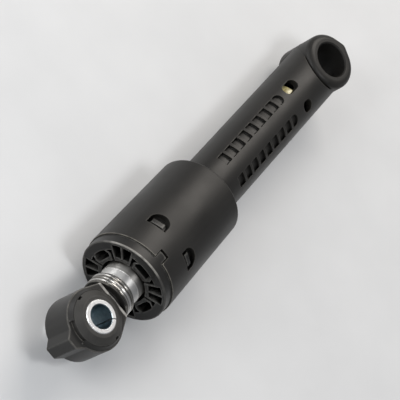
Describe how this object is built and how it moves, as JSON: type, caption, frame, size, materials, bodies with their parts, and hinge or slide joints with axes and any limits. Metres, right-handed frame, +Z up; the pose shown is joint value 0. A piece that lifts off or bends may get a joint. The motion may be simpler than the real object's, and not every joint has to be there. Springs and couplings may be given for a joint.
{
  "type": "washing machine shock absorber",
  "caption": "Free-stroke friction damper: black moulded housing with a bored eye and a ribbed snap-in cap, steel rod with a bushed eye that slides, turns and is held by friction.",
  "frame": {"origin": "middle of the bore of the housing eye", "axes": "+X along the damper towards the rod eye, +Z up along both bores, as the damper lies at rest"},
  "size_m": [0.2254, 0.0412, 0.041],
  "materials": {
    "housing_plastic": "moulded black, fine satin grain",
    "cap_plastic": "moulded black, satin",
    "eye_plastic": "moulded black, satin",
    "carrier_plastic": "moulded dark grey",
    "guide_plastic": "natural cream, greased",
    "rod_steel": "bright drawn tube",
    "sleeve_steel": "bright rolled strip",
    "bush_rubber": "black elastomer",
    "buffer_rubber": "black cellular elastomer",
    "lining_foam": "greased friction foam"
  },
  "bodies": {
    "housing": {"housing": "housing_plastic", "end_cap": "cap_plastic", "rear_buffer": "buffer_rubber", "front_buffer": "buffer_rubber"},
    "carrier": {"carrier_left": "carrier_plastic", "carrier_right": "carrier_plastic", "lining_inner": "lining_foam", "lining_outer": "lining_foam"},
    "guide": {"guide_ring": "guide_plastic"},
    "rod": {"rod_tube": "rod_steel", "rod_eye": "eye_plastic", "eye_bush": "bush_rubber", "eye_sleeve": "sleeve_steel"}
  },
  "joints": [
    {"name": "free_stroke", "type": "slide", "parent": "housing", "child": "carrier", "axis": [1, 0, 0], "range_m": [-0.0029, 0.0029]},
    {"name": "rod_stroke", "type": "slide", "parent": "carrier", "child": "guide", "axis": [1, 0, 0], "range_m": [-0.005, 0.066]},
    {"name": "rod_turn", "type": "hinge", "parent": "guide", "child": "rod", "pos_m": [0.195, 0, 0], "axis": [1, 0, 0], "continuous": true}
  ]
}
